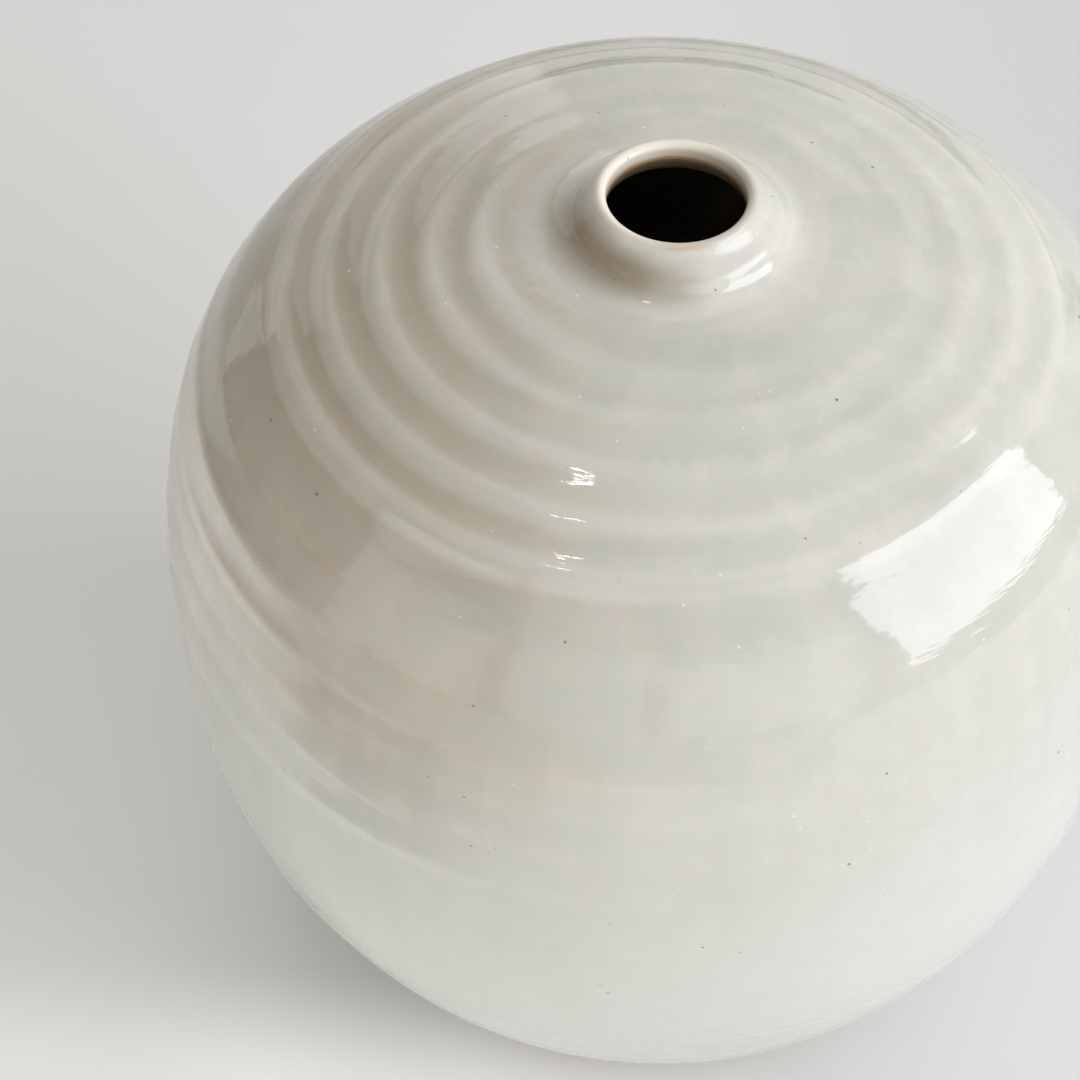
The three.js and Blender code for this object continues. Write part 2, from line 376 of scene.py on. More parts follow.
foot_ring_bm = turn([
    (rest_inner - FOOT_CHAMFER, FOOT_CHAMFER), (rest_inner, 0), (rest_outer, 0),
    (rest_outer + FOOT_CHAMFER, FOOT_CHAMFER), (ring_outer, ring_top),
    (ring_middle, ring_top - FOOT_TONGUE), (ring_inner, ring_top)])
soften(foot_ring_bm, FOOT_SOFTNESS)
foot_ring = fire(foot_ring_bm, "foot_ring_clay", clay)
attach(foot_ring, "root")
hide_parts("foot_ring")

# Foot slip
# The same clay stirred to a cream and brushed on the scored faces, so that ring and base grip. It
# fires a little darker and rougher than the thrown clay, and shows only as a thin line.
SLIP_BROWN = (0.36, 0.26, 0.175, 1)
SLIP_PALE = (0.46, 0.35, 0.25, 1)
JOINT_GAP = 0.15 * MM
SLIP_THICKNESS = 0.8 * MM
SLIP_EDGE = 0.2 * MM
SLIP_LUMP_DEPTH = 0.15 * MM
joint_thickness = SLIP_THICKNESS + 2 * JOINT_GAP

slip, tree, shader = new_material("fired_slip")
place = object_place(tree)
lumps = noise(tree, place, 420, 5, 0.6)
colour = blend(tree, remap(tree, lumps, 0.35, 0.65), SLIP_BROWN, SLIP_PALE)
colour = blend(tree, specks(tree, place, 300, 0.18, 0.35), colour, IRON)
finish(tree, shader, colour, remap(tree, lumps, 0.3, 0.7, 0.85, 0.97), lumps, SLIP_LUMP_DEPTH, 0.8)


def foot_face(level):
    """The joint under the base, at a height above the top of the ring."""
    height = ring_top + level
    return [(ring_outer, height), (ring_middle, height - FOOT_TONGUE), (ring_inner, height)]


def slip_bed(face):
    """The outline of the slip that fills a joint, clear of both of its faces."""
    return face(JOINT_GAP + SLIP_THICKNESS) + face(JOINT_GAP)[::-1]


foot_slip_bm = turn(slip_bed(foot_face))
soften(foot_slip_bm, SLIP_EDGE)
foot_slip = fire(foot_slip_bm, "foot_slip_bed", slip)
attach(foot_slip, "root")
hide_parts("foot_slip")

# Base bowl
# The lower section, thrown as a thick bowl and trimmed round outside when leather hard. It holds
# the floor of the vase, and its rim is cut with a groove that takes the upper section.
SEAM_HEIGHT = 80 * MM
TURNING_HEIGHT = 36 * MM
WALL_STEP = 3.6 * MM
INNER_STEP = 6 * MM
WALL = 6.8 * MM
GLAZE = 0.5 * MM
COAT_GAP = 0.1 * MM
FLOOR_THICKNESS = 8.5 * MM
FLOOR_CORNER_RUN = 9 * MM
FLOOR_CORNER_BEND = 0.35
FLOOR_CORNER_POINTS = 5
SEAM_TONGUE = 2 * MM
CLAY_SOFTNESS = 0.3 * MM
clay_depth = GLAZE + COAT_GAP
floor_height = FOOT_CORNER.y + FLOOR_THICKNESS
seam_at = outline_along[np.argmax(outline[:, 1] > SEAM_HEIGHT)]
turning_at = outline_along[np.argmax(outline[:, 1] > TURNING_HEIGHT)]

# What the hands left on the wall. Rings are given by their distance in mm from the neck and their
# height: high where the fingers drew up the shoulder, and almost ribbed away over the belly.
# Directions are azimuths in radians: -1.57 is the front, and 3.14 the left.
RING_HEIGHT = 0.6 * MM
RING_WIDTH = 4.2 * MM
SHOULDER_RINGS = ((13, 0.85), (26.5, 0.7), (41, 0.95), (55.5, 1.15), (69.5, 1.55))
BELLY_RINGS = ((91, 0.45), (107, 0.55), (121, 0.6), (134, 0.5), (148, 0.4), (165, 0.3))
SHOULDER_RINGS_SIDE = -2.5
BELLY_RINGS_SIDE = -2.55
RING_LEVEL = 0.4
DRIFT = 3.9 * MM
DRIFT_RUN = 26 * MM
DRIFT_SIDE = -2.2
WOBBLE = 0.5 * MM
WOBBLE_RUN = 23 * MM
UNEVENNESS = 0.5 * MM
# Each swell's height, times round the vase, start in radians, and mm up the wall to a radian
SWELLS = ((1, 1, 0.6, 90), (1, 2, -1.1, -55), (0.7, 3, 2.2, 38), (0.5, 0, 0, 17))
TOOL_LINES = ((seam_at - 0.5 * MM, 0.26 * MM), (seam_at + 2.9 * MM, 0.2 * MM),
              (turning_at, 0.15 * MM), (turning_at + 4 * MM, 0.1 * MM))
TOOL_LINE_WIDTH = 0.8 * MM
NECK_FILL = 1.4 * MM
NECK_FILL_WIDTH = 3.4 * MM
NECK_FILL_SIDE = -0.5
CREASE_DEPTH = 0.25 * MM
CREASE_WIDTH = 0.5 * MM
CREASE_SIDE = 2.9


def smooth(low, high, value):
    """0 up to low, 1 from high on, with a soft rise between them."""
    t = np.clip((value - low) / (high - low), 0, 1)
    return t * t * (3 - 2 * t)


def ridge(value, middle, width):
    """1 in the middle, and down to nothing a little more than a width away from it."""
    return np.exp(-((value - middle) / width) ** 2)


def rings(azimuth, distance):
    """The throwing rings, from 0 between two of them to about 1 on a crest."""
    inward = root_at - distance
    drifted = DRIFT * (1 - np.exp(-np.maximum(inward, 0) / DRIFT_RUN))
    drifted = drifted * np.cos(azimuth - DRIFT_SIDE)
    inward = inward - (drifted + WOBBLE * np.sin(3 * azimuth - 1.7 - inward / WOBBLE_RUN))
    on_shoulder = 0.75 + 0.9 * np.maximum(np.cos(azimuth - SHOULDER_RINGS_SIDE), 0) ** 3
    on_shoulder = on_shoulder + 0.12 * np.sin(2 * azimuth + inward / (17 * MM))
    on_belly = 0.12 + 1.6 * np.maximum(np.cos(azimuth - BELLY_RINGS_SIDE), 0) ** 2
    crests = 0
    for marks, share in ((SHOULDER_RINGS, on_shoulder), (BELLY_RINGS, on_belly)):
        for middle, height in marks:
            crests = crests + height * share * ridge(inward, middle * MM, RING_WIDTH)
    return crests


def relief(azimuth, distance):
    """How far the wall stands out from its even outline at each place."""
    swell = sum(height * np.sin(turns * azimuth + start + distance / (run * MM))
                for height, turns, start, run in SWELLS)
    most = sum(height for height, *_ in SWELLS)
    on_body = smooth(5 * MM, 50 * MM, distance) * smooth(0, 30 * MM, root_at - distance)
    height = RING_HEIGHT * (rings(azimuth, distance) - RING_LEVEL) * on_body
    height = height - UNEVENNESS * on_body * (most - swell) / (2 * most)
    for middle, raised in TOOL_LINES:
        patchy = 0.65 + 0.35 * np.sin(2 * azimuth + middle / MM)
        height = height + raised * patchy * ridge(distance, middle, TOOL_LINE_WIDTH)
    smoothed_over = np.clip(np.cos(azimuth - NECK_FILL_SIDE) + 0.25, 0, 1)
    filled = ridge(distance, crease_at + 0.3 * MM, NECK_FILL_WIDTH)
    height = height + NECK_FILL * smoothed_over * filled
    open_crease = np.clip(np.cos(azimuth - CREASE_SIDE), 0, 1)
    return height - CREASE_DEPTH * open_crease * ridge(distance, crease_at - 0.4 * MM, CREASE_WIDTH)


def throw(bm):
    """Moves every point of a turned piece to where the thrower's hands left the wall there."""
    places = np.array([v.co for v in bm.verts])
    azimuth = np.arctan2(places[:, 1], places[:, 0])
    distance = wall_distance(places)
    push = relief(azimuth, distance)
    out, up = [push * np.interp(distance, outline_along, outline_facing[:, i]) for i in (0, 1)]
    places += np.stack([out * np.cos(azimuth), out * np.sin(azimuth), up], 1)
    for v, moved in zip(bm.verts, places):
        v.co = moved


def stops(start, end, step):
    """Distances from start to end, near enough a step apart."""
    return np.linspace(start, end, max(1, round((end - start) / step)) + 1)


LINE_STEP = 0.65 * MM
line_stops = [seam_at + k * LINE_STEP for k in range(-4, 9)]
line_stops += [turning_at + k * LINE_STEP for k in range(-3, 10)]


def wall_stops(start, end, step):
    """Distances for the outside of the wall, closer together where it has a fine line."""
    near_lines = [d for d in line_stops if start < d < end]
    even = [d for d in stops(start, end, step)
            if d in (start, end) or all(abs(d - n) > step / 2 for n in near_lines)]
    return np.array(sorted([*even, *near_lines]))


def skin(distances, depth):
    """The line at a depth under the outside of the wall."""
    facing = [np.interp(distances, outline_along, outline_facing[:, i]) for i in (0, 1)]
    return [(np.interp(d, outline_along, outline[:, 0]) - depth * out,
             np.interp(d, outline_along, outline[:, 1]) - depth * up)
            for d, out, up in zip(distances, *facing)]


def joint(outer, inner, tongue):
    """A joint face across the wall, with its middle pushed down by the height of the tongue."""
    outer, inner = Vector(outer), Vector(inner)
    across = (inner - outer).normalized()
    middle = (outer + inner) / 2 + tongue * Vector((-across.y, across.x))
    return [tuple(outer), tuple(middle), tuple(inner)]


def seam_face(level):
    """The joint between bowl and dome, at a distance above the rim of the bowl."""
    [outer] = skin([seam_at + level], clay_depth)
    [inner] = skin([seam_at + level], WALL - clay_depth)
    return joint(outer, inner, SEAM_TONGUE)


def inside_bowl(depth):
    """The inside of the bowl from the middle of the floor to the seam, a depth under its face."""
    wall_start = outline_along[np.argmax(outline[:, 1] > floor_height + FLOOR_CORNER_RUN / 2)]
    wall_line = skin(stops(wall_start, seam_at, INNER_STEP), WALL - depth)
    foot_of_wall = Vector(wall_line[0])
    floor_edge = Vector((foot_of_wall.x - FLOOR_CORNER_RUN, floor_height - depth))
    bend = Vector((foot_of_wall.x - FLOOR_CORNER_RUN * FLOOR_CORNER_BEND, floor_height - depth))
    corner = bezier([floor_edge, bend, foot_of_wall], FLOOR_CORNER_POINTS)
    floor = [(0, floor_edge.y), (floor_edge.x / 2, floor_edge.y)]
    return floor + [tuple(p) for p in corner] + wall_line[1:]


bowl_outside = skin(np.r_[0, wall_stops(GLAZE_EDGE, seam_at, WALL_STEP)], clay_depth)
underside = foot_face(joint_thickness)[::-1]
base_bowl_bm = turn([(0, bowl_outside[0][1]), *underside, *bowl_outside, *seam_face(0)[1:],
                     *inside_bowl(clay_depth)[::-1][1:]])
soften(base_bowl_bm, CLAY_SOFTNESS)
throw(base_bowl_bm)
base_bowl = fire(base_bowl_bm, "base_bowl_clay", clay)
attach(base_bowl, "root")
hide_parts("base_bowl")

# Seam slip
# Slip in the scored groove where the two thrown sections meet, a third of the way up the vase. The
# seam was ribbed smooth outside, and shows through the glaze as a fine double line.
seam_slip_bm = turn(slip_bed(seam_face))
soften(seam_slip_bm, SLIP_EDGE)
throw(seam_slip_bm)
seam_slip = fire(seam_slip_bm, "seam_slip_bed", slip)
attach(seam_slip, "root")
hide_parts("seam_slip")

# Body dome
# The upper section, thrown and closed in over the hand until only the hole for the neck is left.
# The fingers leave rings on the shoulder, one about every 14 mm, which were never smoothed away.
THROAT_FLARE_RADIUS = 6 * MM
THROAT_FLARE_POINTS = 12
NECK_TONGUE = 1 * MM
NECK_STEP = 0.55 * MM
dome_from = seam_at + joint_thickness


def neck_face(level):
    """The joint between dome and neck, at a distance above the edge of the hole in the dome."""
    [outer] = skin([crease_at + level], clay_depth)
    inner = (throat_radius + clay_depth, THROAT_END + level)
    return joint(outer, inner, NECK_TONGUE)


def inside_dome(depth):
    """The inside of the dome from the seam up to the throat, round the flare at its top."""
    wall_line = skin(stops(dome_from, root_at, INNER_STEP), WALL - depth)
    centre = Vector((throat_radius + THROAT_FLARE_RADIUS, THROAT_END))
    [shoulder] = skin([root_at], WALL)
    back = centre - Vector(shoulder)
    start = math.atan2(back.y, back.x) - math.acos(THROAT_FLARE_RADIUS / back.length)
    flare = arc(centre, THROAT_FLARE_RADIUS - depth, math.pi + start, math.pi, THROAT_FLARE_POINTS)
    return wall_line + [tuple(p) for p in flare]


dome_outside = skin(np.r_[wall_stops(dome_from, root_at, WALL_STEP)[:-1],
                          stops(root_at, crease_at, NECK_STEP)], clay_depth)
body_dome_bm = turn([*dome_outside, neck_face(0)[1], *inside_dome(clay_depth)[::-1],
                     seam_face(joint_thickness)[1]])
soften(body_dome_bm, CLAY_SOFTNESS)
throw(body_dome_bm)
body_dome = fire(body_dome_bm, "body_dome_clay", clay)
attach(body_dome, "root")
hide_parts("body_dome")

# Neck slip
# A thin bed of slip under the neck, brushed on the scored edge of the hole in the dome. The glaze
# covers it on the outside.
neck_slip_bm = turn(slip_bed(neck_face))
soften(neck_slip_bm, SLIP_EDGE)
throw(neck_slip_bm)
neck_slip = fire(neck_slip_bm, "neck_slip_bed", slip)
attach(neck_slip, "root")
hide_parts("neck_slip")

# Neck collar
# A small thrown ring with a rolled lip, set on the dome and pressed down all round. The arc where
# its edge was not quite smoothed into the shoulder is still there on one side.
LIP_STEP = 0.3 * MM
COLLAR_SOFTNESS = 0.2 * MM
collar_outside = skin(np.r_[stops(crease_at + joint_thickness, brow_at, NECK_STEP)[:-1],
                            stops(brow_at, throat_at, LIP_STEP)], clay_depth)
collar_foot = (throat_radius + clay_depth, THROAT_END + joint_thickness)
neck_collar_bm = turn([*collar_outside, collar_foot, neck_face(joint_thickness)[1]])
soften(neck_collar_bm, COLLAR_SOFTNESS)
throw(neck_collar_bm)
neck_collar = fire(neck_collar_bm, "neck_collar_clay", clay)
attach(neck_collar, "root")
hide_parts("neck_collar")

# Outer glaze
# A glossy, half clear white glass poured over the whole outside and wiped off the foot. It ran down
# and lies thicker and whiter below, greyer in the hollows of the rings, thin and cream on the lip.
GLAZE_GREEN = (0.58, 0.59, 0.51, 1)
GLAZE_CREAM = (0.665, 0.65, 0.57, 1)
GLAZE_PINK = (0.645, 0.598, 0.545, 1)
GLAZE_THICK = (0.835, 0.845, 0.81, 1)
GLAZE_POOLED = (0.56, 0.56, 0.49, 1)
GLAZE_THIN = (0.69, 0.665, 0.60, 1)
LEFT_SHADE_TINT = (0.90, 0.82, 0.765, 1)
HOLLOW_SHADE_TINT = (0.90, 0.83, 0.77, 1)
NECK_SHADE_TINT = (0.58, 0.50, 0.43, 1)
LIP_CREAM = (0.62, 0.58, 0.50, 1)
LIP_LIT_PALE = (0.92, 0.86, 0.72, 1)
WORN_RIM_AND_SHADE_TAN = (0.56, 0.43, 0.31, 1)
LINE_BROWN = (0.42, 0.24, 0.11, 1)
FINE_IRON = (0.2, 0.16, 0.13, 1)
RUST = (0.42, 0.33, 0.25, 1)
BUBBLE_AND_GLINT_WHITE = (0.95, 0.95, 0.93, 1)
LEFT = (-0.985, -0.174, 0)
FRONT_LEFT = (-0.766, -0.643, 0)
BACK_LEFT = (-0.87, 0.5, 0)
RUN_RAGGED = 50 * MM
GLAZE_RELIEF = 0.09 * MM
GLAZE_STEP = 1.5 * MM
THROAT_STEP = 0.8 * MM
GLAZE_SOFTNESS = 0.18 * MM
GLAZE_ROLL = 0.3 * MM
GLAZE_ROLL_WIDTH = 1.6 * MM
GLAZE_WAVER = 1.1 * MM
# Each wave of the lower edge: its height, times round the vase, and start in radians
EDGE_WAVES = ((1, 3, 0.4), (0.8, 7, 2.1), (0.6, 13, 0), (0.4, 23, 1))


def towards(tree, place, direction):
    """How far each place lies from the axis in a direction."""
    node = add(tree, "ShaderNodeVectorMath", {0: place, 1: direction}, operation="DOT_PRODUCT")
    return node.outputs["Value"]


white_glaze, tree, shader = new_material("white_glaze")
place = object_place(tree)
axes = axes_of(tree, place)
thrown = add(tree, "ShaderNodeAttribute", attribute_name="thrown").outputs["Vector"]
wall = axes_of(tree, thrown)[2]
pool = add(tree, "ShaderNodeAttribute", attribute_name="pool").outputs["Fac"]

# Clouds of green, cream and pink over the shoulder, and runs that thicken to white further down
clouds = remap(tree, noise(tree, place, 62, 5, 0.62), 0.38, 0.62)
colour = blend(tree, clouds, GLAZE_GREEN, GLAZE_CREAM)
blush = noise(tree, shifted(tree, place, move=(0.3, 0.1, 0.2)), 78, 4, 0.6)
colour = blend(tree, remap(tree, blush, 0.5, 0.64, 0.0, 0.8), colour, GLAZE_PINK)
runs = noise(tree, shifted(tree, thrown, (90, 90, 11)), 1.0, 4, 0.6)
colour = blend(tree, remap(tree, runs, 0.44, 0.7, 0.0, 0.5), colour, GLAZE_GREEN)
ragged = reckon(tree, "MULTIPLY_ADD", runs, RUN_RAGGED, wall)
thick = remap(tree, ragged, 262 * MM, 120 * MM, 0.0, 0.9)
colour = blend(tree, thick, colour, GLAZE_THICK)

# Painted shade: the left of the shoulder, away from the window, is darkened and warmed, most of
# all in the hollows of its rings. Everywhere it pools in the hollows and thins out on the crests.
to_left = towards(tree, place, LEFT)
painted_left_shade = remap(tree, reckon(tree, "MULTIPLY_ADD", clouds, 25 * MM, to_left), 15 * MM, 108 * MM)
painted_left_shade = times(tree, painted_left_shade, remap(tree, wall, root_at - 170 * MM, root_at - 116 * MM))
colour = blend(tree, painted_left_shade, colour, LEFT_SHADE_TINT, "MULTIPLY")
# Painted shade in the hollows of the rings on the left
left_hollow_shade = times(tree, remap(tree, to_left, 5 * MM, 75 * MM), remap(tree, pool, 0.25, 1.0))
left_hollow_shade = times(tree, left_hollow_shade, remap(tree, wall, root_at - 96 * MM, root_at - 76 * MM))
colour = blend(tree, left_hollow_shade, colour, HOLLOW_SHADE_TINT, "MULTIPLY")
colour = blend(tree, remap(tree, pool, 0.45, 1.0, 0.0, 0.4), colour, GLAZE_POOLED)
colour = blend(tree, remap(tree, pool, 0.5, 0.0, 0.0, 0.45), colour, GLAZE_THIN)

# Painted shadow round the foot of the neck at the front left, and on the lip it thins to cream,
# painted lighter at the back left, the side that the light catches
neck_shadow = times(tree, remap(tree, wall, crease_at - 10 * MM, crease_at),
                    remap(tree, wall, brow_at, crease_at + 1.5 * MM))
to_front_left = remap(tree, towards(tree, place, FRONT_LEFT), 6 * MM, 25 * MM)
neck_shadow = times(tree, neck_shadow, to_front_left)
colour = blend(tree, neck_shadow, colour, NECK_SHADE_TINT, "MULTIPLY")
# Painted light: the lip is paler at the back left, where the light catches it
at_lip = remap(tree, wall, brow_at - 2.5 * MM, brow_at + 1.2 * MM)
lip_lit_side = remap(tree, towards(tree, place, BACK_LEFT), -14 * MM, 6 * MM)
lip_colour = blend(tree, lip_lit_side, LIP_CREAM, LIP_LIT_PALE)
colour = blend(tree, times(tree, at_lip, 0.85), colour, lip_colour)
from_rim = reckon(tree, "ABSOLUTE", reckon(tree, "SUBTRACT", wall, brow_at + 0.6 * MM))
worn = noise(tree, shifted(tree, place, move=(0.5, 0.2, 0.9)), 42, 3)
worn = remap(tree, worn, 0.44, 0.64, 0.0, 0.7)
worn = times(tree, remap(tree, from_rim, 1.3 * MM, 0.2 * MM), worn)
colour = blend(tree, worn, colour, WORN_RIM_AND_SHADE_TAN)

# In the throat it darkens down to a wavy brown line, where it meets the liner; the darkening
# above the line is painted shade
x_squared, y_squared = [reckon(tree, "POWER", axes[i], 2.0) for i in (0, 1)]
from_axis = reckon(tree, "SQRT", reckon(tree, "ADD", x_squared, y_squared))
in_throat = remap(tree, from_axis, throat_radius + 0.8 * MM, throat_radius + 0.5 * MM)
wavy_height = reckon(tree, "MULTIPLY_ADD", noise(tree, place, 90, 3), -1.1 * MM, axes[2])
shaded = remap(tree, wavy_height, THROAT_END + 4.2 * MM, THROAT_END + 0.4 * MM, 0.0, 0.5)
colour = blend(tree, times(tree, shaded, in_throat), colour, WORN_RIM_AND_SHADE_TAN)
brown_line = remap(tree, wavy_height, THROAT_END + 1.3 * MM, THROAT_END + 0.1 * MM, 0.0, 0.9)
colour = blend(tree, times(tree, brown_line, in_throat), colour, LINE_BROWN)

# Iron and rust from the clay come up through it as specks, and gas as pale bubbles, whose white
# is partly a painted glint
colour = blend(tree, times(tree, specks(tree, place, 52, 0.042, 0.35), 0.9), colour, IRON)
colour = blend(tree, times(tree, specks(tree, place, 125, 0.058, 0.55), 0.75), colour, FINE_IRON)
colour = blend(tree, times(tree, specks(tree, place, 95, 0.1, 0.12), 0.22), colour, RUST)
bubbles = specks(tree, shifted(tree, place, move=(0.4, 0.3, 0.1)), 165, 0.072, 0.55)
colour = blend(tree, times(tree, bubbles, 0.5), colour, BUBBLE_AND_GLINT_WHITE)

# Its surface has broad and fine wheel lines, the touch of the hand, peel, bubbles and blisters
peel = noise(tree, place, 190, 2)
broad_lines = wheel_lines(tree, thrown, 105, 16)
height = reckon(tree, "MULTIPLY_ADD", broad_lines, 2.6, times(tree, peel, 0.3))
height = reckon(tree, "MULTIPLY_ADD", wheel_lines(tree, thrown, 330, 20), 0.22, height)
touch = noise(tree, shifted(tree, place, move=(0.1, 0.6, 0.3)), 75, 2)
height = reckon(tree, "MULTIPLY_ADD", touch, 2.2, height)
height = reckon(tree, "MULTIPLY_ADD", bubbles, 0.9, height)
blisters = times(tree, specks(tree, place, 210, 0.16, 0.3), at_lip)
height = reckon(tree, "MULTIPLY_ADD", blisters, 1.4, height)
satin = remap(tree, wall, crease_at - 4 * MM, crease_at + 1 * MM, 0.0, 0.16)
roughness = reckon(tree, "ADD", satin, remap(tree, peel, 0.3, 0.7, 0.035, 0.075))
finish(tree, shader, colour, roughness, height, GLAZE_RELIEF)

under_stops = np.r_[wall_stops(GLAZE_EDGE, root_at, WALL_STEP)[:-1],
                    stops(root_at, brow_at, NECK_STEP)[:-1],
                    stops(brow_at, throat_at, LIP_STEP)[:-1],
                    stops(throat_at, end_at - COAT_GAP, THROAT_STEP)]
coat_stops = np.r_[wall_stops(GLAZE_EDGE, root_at, GLAZE_STEP)[:-1],
                   under_stops[under_stops >= root_at]]
outer_glaze_bm = turn(skin(coat_stops, 0) + skin(under_stops, GLAZE)[::-1])
soften(outer_glaze_bm, GLAZE_SOFTNESS)
throw(outer_glaze_bm)
outer_glaze = fire(outer_glaze_bm, "outer_glaze_coat", white_glaze)
places = np.array([v.co for v in outer_glaze.data.vertices])
azimuth = np.arctan2(places[:, 1], places[:, 0])
distance = wall_distance(places)
pooled = np.clip(1.1 - rings(azimuth, distance), 0, 1) * smooth(0, 12 * MM, root_at - distance)
outer_glaze.data.attributes.new("pool", "FLOAT", "POINT").data.foreach_set("value", pooled)

# The lower edge ran a little before the kiln cooled: it is wavy, and rolled thicker outside
sag = sum(height * np.sin(turns * azimuth + start) for height, turns, start in EDGE_WAVES)
sag = sag / sum(height for height, *_ in EDGE_WAVES)
slide = GLAZE_WAVER * sag * smooth(GLAZE_EDGE + 14 * MM, GLAZE_EDGE, distance)
out, up = [np.interp(distance, outline_along, outline_facing[:, i]) for i in (0, 1)]
face = np.hypot(places[:, 0], places[:, 1]) * out + places[:, 2] * up
even_face = np.interp(distance, outline_along, (outline * outline_facing).sum(axis=1))
outside = smooth(-GLAZE, -GLAZE / 2, face - even_face)
swollen = GLAZE_ROLL * outside * ridge(distance, GLAZE_EDGE + 1.3 * MM, GLAZE_ROLL_WIDTH)
radial = swollen * out - slide * up
raised = swollen * up + slide * out
places += np.stack([radial * np.cos(azimuth), radial * np.sin(azimuth), raised], 1)
outer_glaze.data.vertices.foreach_set("co", places.ravel())
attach(outer_glaze, "root")
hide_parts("outer_glaze")

# Liner glaze
# A brown-grey glaze swilled round the inside to make the vase hold water, and poured out again. It
# meets the white coat at the brown line in the throat, and just below it is painted near black, as
# painted shade for the dark inside the closed vase.
LINER_BROWN = (0.36, 0.30, 0.21, 1)
LINER_PALE = (0.52, 0.45, 0.34, 1)
LINER_SHADE_BLACK = (0.13, 0.10, 0.06, 1)
LINER_SHADE_FROM = 262 * MM
LINER_SHADE_ABOVE = 270 * MM
LINER_RELIEF = 0.1 * MM
LINER_SOFTNESS = 0.15 * MM
LINER_SHARP = math.radians(60)

liner, tree, shader = new_material("liner_glaze")
place = object_place(tree)
flow = noise(tree, place, 55, 4, 0.6)
colour = blend(tree, remap(tree, flow, 0.35, 0.65), LINER_BROWN, LINER_PALE)
# Painted shade: the top of the liner, seen through the mouth, goes near black
liner_shade = remap(tree, axes_of(tree, place)[2], LINER_SHADE_FROM, LINER_SHADE_ABOVE)
colour = blend(tree, liner_shade, colour, LINER_SHADE_BLACK)
colour = blend(tree, specks(tree, place, 150, 0.12, 0.5), colour, IRON)
finish(tree, shader, colour, remap(tree, flow, 0.3, 0.7, 0.14, 0.26), noise(tree, place, 160, 2),
       LINER_RELIEF, 0.6)

liner_top = inside_bowl(0) + inside_dome(0)
liner_under = inside_bowl(GLAZE) + inside_dome(GLAZE)
liner_glaze_bm = turn([*liner_under, *liner_top[::-1]])
soften(liner_glaze_bm, LINER_SOFTNESS, LINER_SHARP)
throw(liner_glaze_bm)
liner_glaze = fire(liner_glaze_bm, "liner_glaze_coat", liner)
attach(liner_glaze, "root")
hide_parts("liner_glaze")

# Table
# A plain pale table that runs on out of sight. Its colour is painted darker at the right, and a
# painted glow, seen by the camera and in reflections, brightens its front edge and lifts the vase's
# shadow.
TABLE_PALE = (0.85, 0.855, 0.835, 1)
TABLE_WARM = (0.83, 0.835, 0.815, 1)
TABLE_SHADED = (0.735, 0.73, 0.71, 1)
TABLE_PAINTED_GLOW = (1, 0.985, 0.955, 1)
BACKGROUND = (0.72, 0.72, 0.71, 1)
TABLE_SIZE = 14
TABLE_ROUGHNESS = 0.6
TABLE_SHEEN = 0.25
FAR_LIFT = 0.13
NEAR_LIFT = 0.23
SHADOW_LIFT = 0.07
SHADOW_MIDDLE = (-130 * MM, -40 * MM, 0)
HAZE_START = 0.46
HAZE_END = 0.9

table_bm = bmesh.new()
bmesh.ops.create_grid(table_bm, x_segments=1, y_segments=1, size=TABLE_SIZE / 2)
table_mesh = bpy.data.meshes.new("table")
table_bm.to_mesh(table_mesh)
table_bm.free()
table = bpy.data.objects.new("table", table_mesh)
bpy.context.scene.collection.objects.link(table)
table_finish, tree, shader = new_material("table")
place = object_place(tree)
axes = axes_of(tree, place)
colour = blend(tree, noise(tree, place, 3, 2), TABLE_PALE, TABLE_WARM)
# Painted shade: the table's colour darkens towards the right
colour = blend(tree, remap(tree, axes[0], -50 * MM, 170 * MM), colour, TABLE_SHADED)
tree.links.new(colour, shader.inputs["Base Color"])
shader.inputs["Roughness"].default_value = TABLE_ROUGHNESS
shader.inputs["Specular IOR Level"].default_value = TABLE_SHEEN
# Painted light: a glow along the front edge and in the vase's shadow, for the camera and
# reflections
at_front = times(tree, remap(tree, axes[1], -52 * MM, -100 * MM),
                 remap(tree, axes[0], 60 * MM, -60 * MM))
at_front = times(tree, at_front, remap(tree, axes[0], -165 * MM, -100 * MM, FAR_LIFT, NEAR_LIFT))
from_shadow = add(tree, "ShaderNodeVectorMath", {0: place, 1: SHADOW_MIDDLE}, operation="DISTANCE")
in_shadow = remap(tree, from_shadow.outputs["Value"], 150 * MM, 10 * MM, 0.0, SHADOW_LIFT)
rays = add(tree, "ShaderNodeLightPath").outputs
looked_at = reckon(tree, "ADD", rays["Is Camera Ray"], rays["Is Glossy Ray"], clamp=True)
lift = times(tree, reckon(tree, "ADD", at_front, in_shadow), looked_at)
shader.inputs["Emission Color"].default_value = TABLE_PAINTED_GLOW
tree.links.new(lift, shader.inputs["Emission Strength"])

# Away from the vase the camera sees the plain background, and from below it looks through the table
from_vase = add(tree, "ShaderNodeVectorMath", {0: place}, operation="LENGTH").outputs["Value"]
far_off = times(tree, remap(tree, from_vase, HAZE_START, HAZE_END), rays["Is Camera Ray"])
haze = add(tree, "ShaderNodeEmission", {"Color": BACKGROUND}).outputs[0]
from_above = add(tree, "ShaderNodeMixShader",
                 {0: far_off, 1: shader.outputs[0], 2: haze}).outputs[0]
underneath = add(tree, "ShaderNodeNewGeometry").outputs["Backfacing"]
underneath = times(tree, underneath, rays["Is Camera Ray"])
clear = add(tree, "ShaderNodeBsdfTransparent").outputs[0]
either_side = add(tree, "ShaderNodeMixShader", {0: underneath, 1: from_above, 2: clear}).outputs[0]
tree.links.new(either_side, tree.nodes["Material Output"].inputs["Surface"])
table_mesh.materials.append(table_finish)

